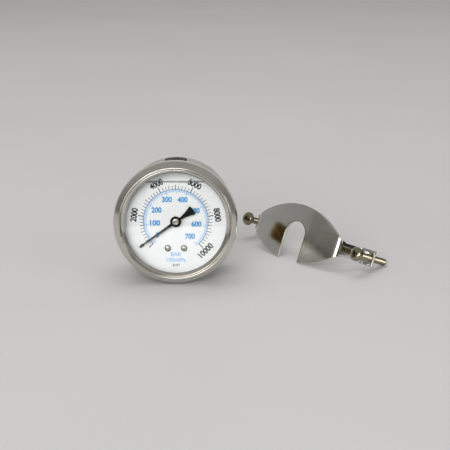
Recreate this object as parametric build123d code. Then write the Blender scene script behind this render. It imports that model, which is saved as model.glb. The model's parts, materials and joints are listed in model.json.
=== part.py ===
from build123d import *
import os
from math import acos, atan2, cos, degrees, hypot, radians, sin, sqrt

# A 63 mm liquid-filled pressure gauge for panel mounting, with the slotted clamp that holds it in
# the panel lying beside it. Millimetres, +Z up, both pieces resting on z = 0, dial towards -Y.
#
# Gauge parts are drawn in a gauge frame: +Z out of the dial, +Y at the top of the dial, z = 0 at the
# crest of the bezel. Clamp parts are drawn in a clamp frame: +X along the plate, +Y away from the
# open end of the slot, +Z out of the plate's convex face.

# ---------------------------------------------------------------- gauge: case, bezel and window
CASE_R = 31.7
CASE_WALL = 0.9
CASE_BACK_Z = -36.0
CASE_BACK_WALL = 1.0
CASE_CORNER_R = 1.5
RIM_R = 33.1
RIM_Z = -7.2
RIM_THICK = 1.0
BEZEL_R = 34.3
BEZEL_WALL = 0.8
BEZEL_REAR_Z = -8.0
BEZEL_OPENING_R = 28.0
BEZEL_LIP_IN_Z = -1.9
BEZEL_LIP_OUT = (30.1, -1.1)
BEZEL_STEP = (30.3, -0.35)
BEZEL_STEP_ROUND = (30.52, -0.1)
BEZEL_CREST = (30.9, 0.0)
BEZEL_SHOULDER = (33.1, -1.25)
BEZEL_INNER_SHOULDER = (33.15, -3.0)
BEZEL_SKIRT_Z = -3.9
BEZEL_CORNER_R = 0.6
WINDOW_THICK = 2.8
WINDOW_R = 32.4
WINDOW_FRONT_Z = -2.4
GASKET_INNER_R = 29.7

# ---------------------------------------------------------------- gauge: dial and pointer
DIAL_R = 29.9
DIAL_Z = -9.5
DIAL_THICK = 0.8
DIAL_HOLE_R = 2.4
DIAL_SCREW_X = 4.5
DIAL_SCREW_Y = -15.3
DIAL_SCREW_HEAD_R = 1.85
DIAL_SCREW_HEAD_H = 1.1
DIAL_SCREW_R = 0.8
DIAL_POST_R = 1.6
POINTER_REST_DEG = 215.3
POINTER_TIP_R = 24.9
POINTER_TIP_W = 0.5
POINTER_ROOT_R = 2.0
POINTER_ROOT_W = 1.7
TAIL_NECK_R = 3.6
TAIL_NECK_W = 1.5
TAIL_FLARE_R = 7.0
TAIL_FLARE_W = 2.7
TAIL_CORNER_R = 11.4
TAIL_CORNER_W = 5.6
TAIL_END_R = 11.9
POINTER_RING_R = 3.05
POINTER_Z = -7.6
POINTER_THICK = 0.4
HUB_R = 1.95
HUB_SINK = 0.8
HUB_STAND = 0.9
HUB_CHAMFER = 0.25
STOP_PIN_R = 0.55
STOP_PIN_AT_R = 18.0
STOP_PIN_DEG = 219.0

# ---------------------------------------------------------------- gauge: movement
FRONT_PLATE_Z = -13.2
REAR_PLATE_Z = -20.4
PLATE_THICK = 1.0
PLATE_W = 18.0
PLATE_TOP = 8.0
PLATE_BOTTOM = -18.4
GEAR_MODULE = 0.3
PINION_TEETH = 10
SECTOR_TEETH = 80
SECTOR_CUT_TEETH = 13
SECTOR_REST_DEG = -4 * 360 / SECTOR_TEETH
GEAR_Z = -16.8
GEAR_THICK = 0.8
TOOTH_ADDENDUM = 0.8
TOOTH_ROOT_SHARE = 0.54
TOOTH_TIP_SHARE = 0.26
TOOTH_SINK = 0.15
PINION_DEDENDUM = 1.1
SECTOR_DEDENDUM = 1.15
SECTOR_RIM_W = 1.7
SECTOR_RIM_MARGIN_DEG = 9.0
SECTOR_SPOKE_W = 2.0
SECTOR_EYE_R = 2.2
PINION_R = GEAR_MODULE * PINION_TEETH / 2
SECTOR_R = GEAR_MODULE * SECTOR_TEETH / 2
SECTOR_PIVOT_Y = -(PINION_R + SECTOR_R)
ARBOR_R = 0.7
ARBOR_BODY_R = 0.8
PIVOT_R = 0.5
RUNNING_GAP = 0.03
SECTOR_TAIL_R = 4.6
SECTOR_TAIL_W = 1.8
LINK_Z = -18.0
LINK_THICK = 0.6
LINK_W = 1.1
LINK_EYE_R = 1.1
LINK_PIN_R = 0.4
LINK_END_X = 9.0
LINK_END_Y = -16.7
LINK_END_TRAVEL = 2.6
EAR_Z = -17.1
EAR_THICK = 0.8
PILLAR_R = 1.3
PILLAR_PLACES = [(7.0, 6.0), (-7.0, 6.0), (-7.3, -16.2)]
PILLAR_SCREW_R = 0.6
PILLAR_SCREW_HEAD_R = 1.2
PILLAR_SCREW_HEAD_H = 0.7
PRESS_GAP = 0.02
HAIRSPRING_INNER_R = 1.7
HAIRSPRING_PITCH = 0.62
HAIRSPRING_TURNS = 4.5
HAIRSPRING_STRIP = 0.12
HAIRSPRING_W = 0.7
HAIRSPRING_LIFT = 0.35
STUD_R = 0.5
STUD_H = 1.4

# ---------------------------------------------------------------- gauge: pressure tube and stem
COIL_R = 24.0
COIL_TUBE_R = 1.5
COIL_BORE_R = 1.0
COIL_PITCH = 4.0
COIL_TURNS = 2.6
COIL_TIP_DEG = 300.0
COIL_FOOT_DEG = COIL_TIP_DEG + 360 * COIL_TURNS
COIL_FOOT_Z = -26.0
ARM_H = 3.8
ARM_W = 5.0
BASE_SPIGOT_R = 4.0
STEM_FLANGE_R = 13.0
STEM_FLANGE_THICK = 3.0
STEM_HUB_R = 8.0
STEM_HUB_FRONT_Z = -24.0
NECK_R = 7.0
NECK_LENGTH = 4.5
WRENCH_FLATS = 17.0
WRENCH_LENGTH = 10.0
THREAD_R = 6.64
THREAD_LENGTH = 14.0
BORE_R = 2.0
RESTRICTOR_LENGTH = 4.0
STEM_SCREW_AT_R = 10.6
STEM_SCREW_HEAD_R = 1.9
STEM_SCREW_HEAD_H = 0.8
STEM_SCREW_R = 1.0
SEAL_R = 8.3
SEAL_SECTION_R = 0.6
SEAL_GROOVE_W = 1.5

# ---------------------------------------------------------------- gauge: fill plug
PLUG_Z = -17.6
PLUG_HEAD_R = 6.2
PLUG_HEAD_TOP = 33.3
PLUG_HEAD_ROUND = 0.7
PLUG_NIB_R = 1.6
PLUG_NIB_H = 0.45
PLUG_SHANK_R = 4.4
PLUG_HOLE_R = 4.5
PLUG_LIP_R = 5.2

# ---------------------------------------------------------------- clamp
SHEET = 1.5
PLATE_HALF = 33.2
ARCH_RISE = 1.6
ARCH_R = 300.0
PLATE_TOP_Y = 18.0
PLATE_BOTTOM_Y = -16.1
PLATE_END_HALF_W = 4.9
LEG_HALF_W = 4.0
LEG_SHOULDER_X = 33.8
LEG_NECK_X = 34.2
LEG_FOOT_X = 37.2
TAB_START_X = 38.6
TAB_END_X = 47.7
TAB_HALF_W = 4.6
TAB_CORNER_R = 0.8
TAB_Z = -17.0
BEND_R = 2.8
SLOT_W = 15.2
SCREW_X = 44.4
SCREW_R = 2.0
SCREW_HOLE_R = 2.05
SCREW_HEAD_R = 4.1
SCREW_HEAD_H = 3.1
SCREW_UNDERHEAD_Z = -4.5
SCREW_TIP_Z = -31.5
SCREW_TIP_CHAMFER = 0.6

# ---------------------------------------------------------------- how the two lie on the table
CLAMP_TURN_DEG = -47.7
CLAMP_X = 69.0
CLAMP_Y = 43.5


def ring(outer_r, inner_r, z_low, z_high):
    """A plain ring or disc about the Z axis."""
    solid = Pos(0, 0, (z_low + z_high) / 2) * Cylinder(outer_r, z_high - z_low)
    if inner_r > 0:
        solid -= Pos(0, 0, (z_low + z_high) / 2) * Cylinder(inner_r, 2 * (z_high - z_low))
    return solid


def post(x, y, r, z_low, z_high):
    """A round post along Z."""
    return Pos(x, y, (z_low + z_high) / 2) * Cylinder(r, z_high - z_low)


def turned(points, rounded=()):
    """A solid turned about Z from (radius, z) points; rounded holds (point, radius) pairs."""
    face = make_face(Polyline([(r, z) for r, z in points], close=True))
    for (r, z), radius in rounded:
        corner = [v for v in face.vertices() if hypot(v.X - r, v.Y - z) < 1e-6]
        face = fillet(corner, radius)
    return revolve(Plane.XZ * face, Axis.Z)


def polar(r, degrees_):
    return (r * cos(radians(degrees_)), r * sin(radians(degrees_)))


# ================================================================ gauge
def case_shell():
    inner_r = CASE_R - CASE_WALL
    inner_back = CASE_BACK_Z + CASE_BACK_WALL
    hole_r = NECK_R + 0.2
    rim_front = RIM_Z + RIM_THICK
    outer_corner = (CASE_R, CASE_BACK_Z)
    inner_corner = (inner_r, inner_back)
    cup = turned(
        [
            (hole_r, CASE_BACK_Z),
            outer_corner,
            (CASE_R, RIM_Z),
            (RIM_R, RIM_Z),
            (RIM_R, rim_front),
            (inner_r, rim_front),
            inner_corner,
            (hole_r, inner_back),
        ],
        [(outer_corner, CASE_CORNER_R), (inner_corner, CASE_CORNER_R - CASE_WALL)],
    )
    cup -= Pos(0, CASE_R, PLUG_Z) * Rot(90, 0, 0) * Cylinder(PLUG_HOLE_R, 8)
    for angle in stem_screw_angles():
        x, y = polar(STEM_SCREW_AT_R, angle)
        cup -= post(x, y, STEM_SCREW_R + 0.1, CASE_BACK_Z - 1, inner_back + 1)
    return cup


def bezel_ring():
    """A rolled ring: lip, sharp step, rounded crest and shoulder, skirt, and a rear edge turned in."""
    inner_r = BEZEL_R - BEZEL_WALL
    seat_r = WINDOW_R + 0.1
    case_hole_r = CASE_R + 0.1
    with BuildSketch() as profile:
        with BuildLine():
            lip_in = (BEZEL_OPENING_R, BEZEL_LIP_IN_Z)
            skirt_top = (BEZEL_R, BEZEL_SKIRT_Z)
            skirt_foot = (BEZEL_R, BEZEL_REAR_Z + BEZEL_CORNER_R)
            rear_edge = (BEZEL_R - BEZEL_CORNER_R, BEZEL_REAR_Z)
            wall_top = (inner_r, BEZEL_SKIRT_Z)
            seat = (seat_r, WINDOW_FRONT_Z)
            Polyline(lip_in, BEZEL_LIP_OUT, BEZEL_STEP)
            ThreePointArc(BEZEL_STEP, BEZEL_STEP_ROUND, BEZEL_CREST)
            ThreePointArc(BEZEL_CREST, BEZEL_SHOULDER, skirt_top)
            Line(skirt_top, skirt_foot)
            RadiusArc(skirt_foot, rear_edge, BEZEL_CORNER_R)
            Polyline(rear_edge, (case_hole_r, BEZEL_REAR_Z), (case_hole_r, RIM_Z), (inner_r, RIM_Z), wall_top)
            ThreePointArc(wall_top, BEZEL_INNER_SHOULDER, seat)
            Polyline(seat, (BEZEL_OPENING_R, WINDOW_FRONT_Z), lip_in)
        make_face()
    return revolve(Plane.XZ * profile.sketch, Axis.Z)


def window():
    back = WINDOW_FRONT_Z - WINDOW_THICK
    return ring(WINDOW_R, 0, back, WINDOW_FRONT_Z)


def window_gasket():
    """An L-shaped rubber ring that holds the window's rim and back clear of the metal."""
    back = WINDOW_FRONT_Z - WINDOW_THICK
    outer = BEZEL_R - BEZEL_WALL
    floor = ring(outer, GASKET_INNER_R, RIM_Z + RIM_THICK, back)
    wall = ring(outer, WINDOW_R, back, BEZEL_SKIRT_Z)
    return floor + wall


def dial():
    plate = ring(DIAL_R, DIAL_HOLE_R, DIAL_Z - DIAL_THICK, DIAL_Z)
    for x in (-DIAL_SCREW_X, DIAL_SCREW_X):
        plate -= post(x, DIAL_SCREW_Y, DIAL_SCREW_R + 0.1, DIAL_Z - 2, DIAL_Z + 1)
    pin_x, pin_y = polar(STOP_PIN_AT_R, STOP_PIN_DEG)
    return plate - post(pin_x, pin_y, STOP_PIN_R, DIAL_Z - 2, DIAL_Z + 1)


def cross_recess(size, depth, z_top):
    """The cross-shaped driver recess of a screw head at the origin."""
    bar = Pos(0, 0, z_top) * Box(size, size * 0.26, 2 * depth)
    return bar + Rot(0, 0, 90) * bar


def pan_head(r, height, z_seat, slotted=False):
    """A domed screw head standing on z_seat, with a driver recess."""
    head = ring(r, 0, z_seat, z_seat + height)
    head = fillet(head.edges().sort_by(Axis.Z)[-1], height * 0.62)
    if slotted:
        return head - Pos(0, 0, z_seat + height) * Box(3 * r, r * 0.28, height * 0.7)
    return head - cross_recess(r * 1.15, height * 0.45, z_seat + height)


def dial_screws():
    screws = []
    for x in (-DIAL_SCREW_X, DIAL_SCREW_X):
        head = Rot(0, 0, 20) * pan_head(DIAL_SCREW_HEAD_R, DIAL_SCREW_HEAD_H, DIAL_Z)
        shank = post(0, 0, DIAL_SCREW_R, FRONT_PLATE_Z + PLATE_THICK + 0.1, DIAL_Z)
        screws.append(Pos(x, DIAL_SCREW_Y, 0) * (head + shank))
    return Compound(screws)


def dial_posts():
    """Two tapped posts that carry the dial off the movement's front plate."""
    posts = []
    for x in (-DIAL_SCREW_X, DIAL_SCREW_X):
        base = FRONT_PLATE_Z + PLATE_THICK
        outer = post(x, DIAL_SCREW_Y, DIAL_POST_R, base, DIAL_Z - DIAL_THICK)
        posts.append(outer - post(x, DIAL_SCREW_Y, DIAL_SCREW_R + PRESS_GAP, base, DIAL_Z))
    return Compound(posts)


def stop_pin():
    x, y = polar(STOP_PIN_AT_R, STOP_PIN_DEG)
    return post(x, y, STOP_PIN_R, DIAL_Z - DIAL_THICK, POINTER_Z + POINTER_THICK + 0.5)


def pointer_blade():
    """Blade, ring and flared counterweight in one flat piece, drawn along +X then turned to zero."""
    blade = make_face(
        Polyline(
            (POINTER_ROOT_R, -POINTER_ROOT_W / 2), (POINTER_TIP_R, -POINTER_TIP_W / 2),
            (POINTER_TIP_R, POINTER_TIP_W / 2), (POINTER_ROOT_R, POINTER_ROOT_W / 2), close=True,
        )
    )
    with BuildSketch() as tail:
        with BuildLine():
            upper, lower = [
                [
                    (-POINTER_ROOT_R, side * TAIL_NECK_W / 2),
                    (-TAIL_NECK_R, side * TAIL_NECK_W / 2),
                    (-TAIL_FLARE_R, side * TAIL_FLARE_W / 2),
                    (-TAIL_CORNER_R, side * TAIL_CORNER_W / 2),
                ]
                for side in (1, -1)
            ]
            Line(upper[0], upper[1])
            Spline(upper[1], upper[2], upper[3])
            ThreePointArc(upper[3], (-TAIL_END_R, 0), lower[3])
            Spline(lower[3], lower[2], lower[1])
            Line(lower[1], lower[0])
            Line(lower[0], upper[0])
        make_face()
    flat = blade + tail.sketch + Circle(POINTER_RING_R)
    solid = Pos(0, 0, POINTER_Z) * extrude(flat, POINTER_THICK)
    solid -= ring(HUB_R, 0, POINTER_Z - 1, POINTER_Z + 1)
    return Rot(0, 0, POINTER_REST_DEG) * solid


def pointer_hub():
    hub = ring(HUB_R, ARBOR_R, POINTER_Z - HUB_SINK, POINTER_Z + POINTER_THICK + HUB_STAND)
    top_rims = hub.edges().filter_by(GeomType.CIRCLE).sort_by(Axis.Z)[-2:]
    return chamfer(top_rims.sort_by(SortBy.RADIUS)[-1], HUB_CHAMFER)


# ---------------------------------------------------------------- movement
def toothed(teeth, first, count, dedendum, z_low, thick):
    """Straight-flanked gear teeth, narrow enough to run free at every angle, and their root radius."""
    pitch_r = GEAR_MODULE * teeth / 2
    tip_r = pitch_r + TOOTH_ADDENDUM * GEAR_MODULE
    root_r = pitch_r - dedendum * GEAR_MODULE
    foot_r = root_r - TOOTH_SINK
    pitch_deg = 360 / teeth
    half_root, half_tip = TOOTH_ROOT_SHARE * pitch_deg / 2, TOOTH_TIP_SHARE * pitch_deg / 2
    outline = None
    for k in range(first, first + count):
        mid = k * pitch_deg
        corners = [
            polar(foot_r, mid - half_root),
            polar(tip_r, mid - half_tip),
            polar(tip_r, mid + half_tip),
            polar(foot_r, mid + half_root),
        ]
        tooth = make_face(Polyline(corners, close=True))
        outline = tooth if outline is None else outline + tooth
    return Pos(0, 0, z_low) * extrude(outline, thick), root_r


def pie_slice(radius, half_angle):
    """A sector of a disc, centred on +X."""
    low, middle, high = polar(2 * radius, -half_angle), polar(2.4 * radius, 0), polar(2 * radius, half_angle)
    wedge = make_face(Polyline((0, 0), low, middle, high, close=True))
    return Circle(radius) & wedge


def pinion_arbor():
    """The pointer's shaft with its pinion, thinned to pivots where it runs in the plates."""
    teeth, root_r = toothed(PINION_TEETH, 0, PINION_TEETH, PINION_DEDENDUM, GEAR_Z - 0.3, GEAR_THICK + 0.6)
    teeth = Rot(0, 0, 90 + 180 / PINION_TEETH) * teeth
    body = post(0, 0, root_r, REAR_PLATE_Z + PLATE_THICK + 0.1, FRONT_PLATE_Z - 0.1)
    rear_pivot = post(0, 0, PIVOT_R, REAR_PLATE_Z, REAR_PLATE_Z + PLATE_THICK + 0.1)
    front_run = post(0, 0, ARBOR_R, FRONT_PLATE_Z - 0.1, POINTER_Z + POINTER_THICK + 0.6)
    return teeth + body + rear_pivot + front_run


def sector_gear():
    """The toothed quadrant with its tail, swung to where the pointer reads zero."""
    half = SECTOR_CUT_TEETH // 2
    teeth, root_r = toothed(SECTOR_TEETH, -half, SECTOR_CUT_TEETH, SECTOR_DEDENDUM, GEAR_Z, GEAR_THICK)
    half_spread = 360 / SECTOR_TEETH * (half + 0.5)
    rim_outer = pie_slice(root_r, half_spread)
    rim_cut = pie_slice(root_r - SECTOR_RIM_W, half_spread - SECTOR_RIM_MARGIN_DEG)
    spoke = Rectangle(root_r - SECTOR_RIM_W / 2, SECTOR_SPOKE_W, align=(Align.MIN, Align.CENTER))
    flat = rim_outer - rim_cut + spoke + Circle(SECTOR_EYE_R)
    flat += Pos(-SECTOR_TAIL_R / 2, 0) * Rectangle(SECTOR_TAIL_R, SECTOR_TAIL_W)
    flat += Pos(-SECTOR_TAIL_R, 0) * Circle(LINK_EYE_R)
    flat -= Circle(ARBOR_BODY_R)
    flat -= Pos(-SECTOR_TAIL_R, 0) * Circle(LINK_PIN_R)
    body = Pos(0, 0, GEAR_Z) * extrude(flat, GEAR_THICK) + teeth
    return sector_place() * body


def sector_place():
    return Pos(0, SECTOR_PIVOT_Y, 0) * Rot(0, 0, 90 + SECTOR_REST_DEG)


def sector_arbor():
    """The quadrant's shaft, pressed into it, with a pivot in each plate."""
    body = post(0, 0, ARBOR_BODY_R, REAR_PLATE_Z + PLATE_THICK + 0.1, FRONT_PLATE_Z - 0.1)
    pivots = post(0, 0, PIVOT_R, REAR_PLATE_Z + 0.1, FRONT_PLATE_Z + PLATE_THICK - 0.1)
    return sector_place() * (body + pivots)


def tail_pin_at():
    """Where the link hangs on the quadrant's tail."""
    x, y = polar(-SECTOR_TAIL_R, 90 + SECTOR_REST_DEG)
    return x, y + SECTOR_PIVOT_Y


def link_rod():
    x0, y0 = tail_pin_at()
    length = hypot(LINK_END_X - x0, LINK_END_Y - y0)
    far_end = Pos(length, 0)
    bar = Pos(length / 2, 0) * Rectangle(length, LINK_W) + Circle(LINK_EYE_R) + far_end * Circle(LINK_EYE_R)
    bar -= Circle(LINK_PIN_R + RUNNING_GAP)
    bar -= far_end * Circle(LINK_PIN_R)
    solid = Pos(0, 0, LINK_Z) * extrude(bar, LINK_THICK)
    return Pos(x0, y0, 0) * Rot(0, 0, degrees(atan2(LINK_END_Y - y0, LINK_END_X - x0))) * solid


def link_pin():
    """The rivet that joins the link to the quadrant's tail."""
    x, y = tail_pin_at()
    shank = post(x, y, LINK_PIN_R, LINK_Z - 0.1, GEAR_Z + GEAR_THICK)
    return shank + post(x, y, 0.7, LINK_Z - 0.4, LINK_Z - 0.1)


def link_end_pin():
    """The link's far pin, which slides in the slot of the tube's end piece."""
    shank = post(LINK_END_X, LINK_END_Y, LINK_PIN_R, LINK_Z, EAR_Z + EAR_THICK + 0.2)
    return shank + post(LINK_END_X, LINK_END_Y, 0.8, EAR_Z + EAR_THICK + 0.2, EAR_Z + EAR_THICK + 0.5)


def plate_outline():
    height = PLATE_TOP - PLATE_BOTTOM
    return Pos(0, (PLATE_TOP + PLATE_BOTTOM) / 2) * RectangleRounded(PLATE_W, height, 3.0)


def movement_plate(z_low, arbor_hole_r):
    outline = plate_outline() - Circle(arbor_hole_r) - Pos(0, SECTOR_PIVOT_Y) * Circle(PIVOT_R + RUNNING_GAP)
    for x, y in PILLAR_PLACES:
        outline -= Pos(x, y) * Circle(PILLAR_SCREW_R + 0.05)
    return Pos(0, 0, z_low) * extrude(outline, PLATE_THICK)


def front_plate():
    return movement_plate(FRONT_PLATE_Z, ARBOR_R + RUNNING_GAP)


def rear_plate():
    return movement_plate(REAR_PLATE_Z, PIVOT_R + RUNNING_GAP)


def movement_base():
    """A cast block on the stem's hub that carries the movement."""
    low, high = STEM_HUB_FRONT_Z, REAR_PLATE_Z
    block = Pos(0, 0, low) * extrude(plate_outline(), high - low)
    block -= ring(BASE_SPIGOT_R, 0, low - 1, high + 1)
    for x, y in PILLAR_PLACES:
        block -= post(x, y, PILLAR_SCREW_R + PRESS_GAP, low - 1, high + 1)
    return block


def movement_pillars():
    low, high = REAR_PLATE_Z + PLATE_THICK, FRONT_PLATE_Z
    pillars = [
        post(x, y, PILLAR_R, low, high) - post(x, y, PILLAR_SCREW_R + PRESS_GAP, low, high)
        for x, y in PILLAR_PLACES
    ]
    return Compound(pillars)


def movement_screws():
    """Long screws from the front plate through the pillars and the rear plate into the base."""
    seat = FRONT_PLATE_Z + PLATE_THICK
    screws = []
    for x, y in PILLAR_PLACES:
        head = pan_head(PILLAR_SCREW_HEAD_R, PILLAR_SCREW_HEAD_H, seat, slotted=True)
        shank = post(0, 0, PILLAR_SCREW_R, STEM_HUB_FRONT_Z + 0.6, seat)
        screws.append(Pos(x, y, 0) * (head + shank))
    return Compound(screws)


def hairspring():
    """A flat spiral that takes up the gears' backlash, pinned outside to its stud."""
    per_turn = 12
    steps = int(HAIRSPRING_TURNS * per_turn)

    def spiral(offset):
        turns = [i / per_turn for i in range(steps + 1)]
        return [polar(HAIRSPRING_INNER_R + HAIRSPRING_PITCH * turn + offset, 360 * turn) for turn in turns]

    outer, inner = spiral(HAIRSPRING_STRIP), spiral(0)
    edge = [Spline(outer), Line(outer[-1], inner[-1]), Spline(inner[::-1]), Line(inner[0], outer[0])]
    low = REAR_PLATE_Z + PLATE_THICK + HAIRSPRING_LIFT
    return Pos(0, 0, low) * extrude(make_face(edge), HAIRSPRING_W)


def hairspring_stud():
    """The post that the spring's outer end is pinned to."""
    outer_r = HAIRSPRING_INNER_R + HAIRSPRING_PITCH * HAIRSPRING_TURNS + HAIRSPRING_STRIP
    x, y = polar(outer_r + STUD_R, 360 * HAIRSPRING_TURNS)
    low = REAR_PLATE_Z + PLATE_THICK
    return post(x, y, STUD_R, low, low + STUD_H)


# ---------------------------------------------------------------- pressure tube and stem
def coil_path():
    coil = Helix(COIL_PITCH, COIL_PITCH * COIL_TURNS, COIL_R, lefthand=True)
    return Pos(0, 0, COIL_FOOT_Z) * Rot(0, 0, COIL_FOOT_DEG) * coil


def bourdon_tube():
    path = coil_path()
    start = Plane(origin=path @ 0, z_dir=path % 0)
    outer = sweep(start * Circle(COIL_TUBE_R), path=path)
    bore = sweep(start * Circle(COIL_BORE_R), path=path)
    return outer - bore


def tube_foot():
    """The arm that carries pressure from the stem's hub out to the foot of the coil."""
    start, end = STEM_HUB_R - 0.6, COIL_R + 2.4
    arm = Pos((start + end) / 2, 1.2 - ARM_W / 2, COIL_FOOT_Z) * Box(end - start, ARM_W, ARM_H)
    arm = Rot(0, 0, COIL_FOOT_DEG) * mirror(arm, Plane.XZ)
    return arm - ring(STEM_HUB_R, 0, CASE_BACK_Z, STEM_HUB_FRONT_Z + 5) - bourdon_tube()


def tube_end():
    """The closed end piece of the coil, with the slotted ear that the link's pin slides in."""
    path = coil_path()
    end, along = path @ 1, path % 1
    cap_plane = Plane(origin=end + along * 0.6, z_dir=along)
    cap = extrude(cap_plane * RectangleRounded(4.2, 4.2, 0.8), 1.4, both=True)
    slot_x = LINK_END_X + LINK_END_TRAVEL / 2
    arm = Rot(0, 0, COIL_TIP_DEG) * Pos(20.6, 0) * Rectangle(6.4, 3.2)
    ear = Pos(slot_x, LINK_END_Y) * RectangleRounded(7.0, 3.4, 1.4) + arm
    ear -= Pos(slot_x, LINK_END_Y - 0.1) * SlotCenterToCenter(LINK_END_TRAVEL + 0.4, 1.5)
    return cap + Pos(0, 0, EAR_Z) * extrude(ear, EAR_THICK) - bourdon_tube()


def stem_screw_angles():
    return [30 + 120 * k for k in range(3)]


def stem():
    """Centre-back connection: hub, flange, neck for the clamp, wrench square and threaded end."""
    flange_back = CASE_BACK_Z + CASE_BACK_WALL
    neck_back = CASE_BACK_Z - NECK_LENGTH
    square_back = neck_back - WRENCH_LENGTH
    end = square_back - THREAD_LENGTH
    body = ring(STEM_HUB_R, 0, flange_back, STEM_HUB_FRONT_Z)
    body += ring(STEM_FLANGE_R, 0, flange_back, flange_back + STEM_FLANGE_THICK)
    body += ring(NECK_R, 0, neck_back, flange_back)
    square = Pos(0, 0, square_back) * extrude(Rectangle(WRENCH_FLATS, WRENCH_FLATS), WRENCH_LENGTH)
    body += square & ring(WRENCH_FLATS * 0.64, 0, square_back, neck_back)
    thread = ring(THREAD_R, 0, end, square_back)
    body += chamfer(thread.edges().sort_by(Axis.Z)[0], 1.0)
    body -= ring(BORE_R, 0, end - 1, STEM_HUB_FRONT_Z - 3)
    body += ring(BASE_SPIGOT_R, 0, STEM_HUB_FRONT_Z, REAR_PLATE_Z - 0.2)
    cross_bore = Pos(STEM_HUB_R, 0, COIL_FOOT_Z - 1) * Rot(0, 90, 0) * Cylinder(0.8, 2 * STEM_HUB_R)
    body -= Rot(0, 0, COIL_FOOT_DEG) * cross_bore
    groove_floor = flange_back + 2 * SEAL_SECTION_R
    body -= ring(SEAL_R + SEAL_GROOVE_W / 2, SEAL_R - SEAL_GROOVE_W / 2, flange_back, groove_floor)
    for angle in stem_screw_angles():
        x, y = polar(STEM_SCREW_AT_R, angle)
        body -= post(x, y, STEM_SCREW_R, flange_back - 1, flange_back + STEM_FLANGE_THICK - 0.4)
    return body


def stem_seal():
    z = CASE_BACK_Z + CASE_BACK_WALL + SEAL_SECTION_R
    return Pos(0, 0, z) * Torus(SEAL_R, SEAL_SECTION_R)


def stem_screws():
    screws = []
    for angle in stem_screw_angles():
        x, y = polar(STEM_SCREW_AT_R, angle)
        head = Rot(180, 0, 0) * pan_head(STEM_SCREW_HEAD_R, STEM_SCREW_HEAD_H, 0)
        shank = post(0, 0, STEM_SCREW_R, 0, CASE_BACK_WALL + STEM_FLANGE_THICK - 0.6)
        screws.append(Pos(x, y, CASE_BACK_Z) * Rot(0, 0, angle) * (head + shank))
    return Compound(screws)


def restrictor():
    """A pressed plug with a fine hole that slows pressure spikes."""
    end = CASE_BACK_Z - NECK_LENGTH - WRENCH_LENGTH - THREAD_LENGTH
    return ring(BORE_R, 0.35, end + 3.0, end + 3.0 + RESTRICTOR_LENGTH)


def fill_plug():
    """A rubber bung: head on the case, shank through its wall, lip inside."""
    def stub(r, low, high):
        return Pos(0, (low + high) / 2, PLUG_Z) * Rot(90, 0, 0) * Cylinder(r, high - low)

    case_outside = ring(CASE_R, 0, CASE_BACK_Z, 0)
    case_inside = ring(CASE_R - CASE_WALL, 0, CASE_BACK_Z, 0)
    head = stub(PLUG_HEAD_R, 28.0, PLUG_HEAD_TOP)
    head = fillet(head.edges().filter_by(GeomType.CIRCLE).sort_by(Axis.Y)[-1], PLUG_HEAD_ROUND) - case_outside
    shank = stub(PLUG_SHANK_R, 28.6, 32.0)
    lip = stub(PLUG_LIP_R, 28.6, 31.5) & case_inside
    nib = stub(PLUG_NIB_R, 32.0, PLUG_HEAD_TOP + PLUG_NIB_H)
    return head + shank + lip + nib


# ================================================================ clamp
def clamp_profile():
    """The bent strip seen along its width, as a closed face in (x, z)."""
    middle_z = ARCH_RISE - SHEET / 2
    end_z = -SHEET / 2
    inset = SHEET / 2
    tab_mid = TAB_Z + SHEET / 2
    corners = [
        (-TAB_END_X, tab_mid), (-LEG_FOOT_X + inset, tab_mid), (-PLATE_HALF + inset, end_z),
        (0, middle_z),
        (PLATE_HALF - inset, end_z), (LEG_FOOT_X - inset, tab_mid), (TAB_END_X, tab_mid),
    ]
    line = FilletPolyline(corners, radius=[BEND_R, BEND_R, ARCH_R, BEND_R, BEND_R])
    outline = line.offset_2d(SHEET / 2, side=Side.BOTH, kind=Kind.INTERSECTION)
    return make_face(outline.edges())


def lens_outline():
    """The plate seen from outside: two arcs, then at each end a neck for the leg and a squared tab."""
    end_x, end_y = PLATE_HALF, PLATE_END_HALF_W
    with BuildSketch() as lens:
        with BuildLine():
            ThreePointArc((-end_x, end_y), (0, PLATE_TOP_Y), (end_x, end_y))
            Line((end_x, end_y), (end_x, -end_y))
            ThreePointArc((end_x, -end_y), (0, PLATE_BOTTOM_Y), (-end_x, -end_y))
            Line((-end_x, -end_y), (-end_x, end_y))
        make_face()
    outline = lens.sketch
    upper = [
        (end_x - 1, end_y), (LEG_SHOULDER_X, end_y), (LEG_NECK_X, LEG_HALF_W), (LEG_FOOT_X, LEG_HALF_W),
        (TAB_START_X, TAB_HALF_W), (TAB_END_X, TAB_HALF_W),
    ]
    for side in (1, -1):
        around = [(side * x, y) for x, y in upper] + [(side * x, -y) for x, y in upper[::-1]]
        ear = make_face(Polyline(around, close=True))
        corners = [v for v in ear.vertices() if abs(abs(v.X) - TAB_END_X) < 1e-6]
        outline += fillet(corners, TAB_CORNER_R)
    return outline


def clamp_bracket():
    strip = extrude(Plane.XZ * clamp_profile(), 30, both=True)
    blank = Pos(0, 0, -40) * extrude(lens_outline(), 60)
    bracket = strip & blank
    slot = Circle(SLOT_W / 2) + Pos(0, -20) * Rectangle(SLOT_W, 40)
    bracket -= Pos(0, 0, -5) * extrude(slot, 12)
    for side in (-1, 1):
        bracket -= post(side * SCREW_X, 0, SCREW_HOLE_R, TAB_Z - 2, TAB_Z + 4)
    return bracket


def clamp_screw(side):
    """A round-headed machine screw through the tab, its point towards the panel."""
    shank = post(0, 0, SCREW_R, SCREW_TIP_Z, SCREW_UNDERHEAD_Z)
    shank = chamfer(shank.edges().sort_by(Axis.Z)[0], SCREW_TIP_CHAMFER)
    head = pan_head(SCREW_HEAD_R, SCREW_HEAD_H, SCREW_UNDERHEAD_Z)
    return Pos(side * SCREW_X, 0, 0) * Rot(0, 0, 25 * side) * (head + shank)


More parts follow.
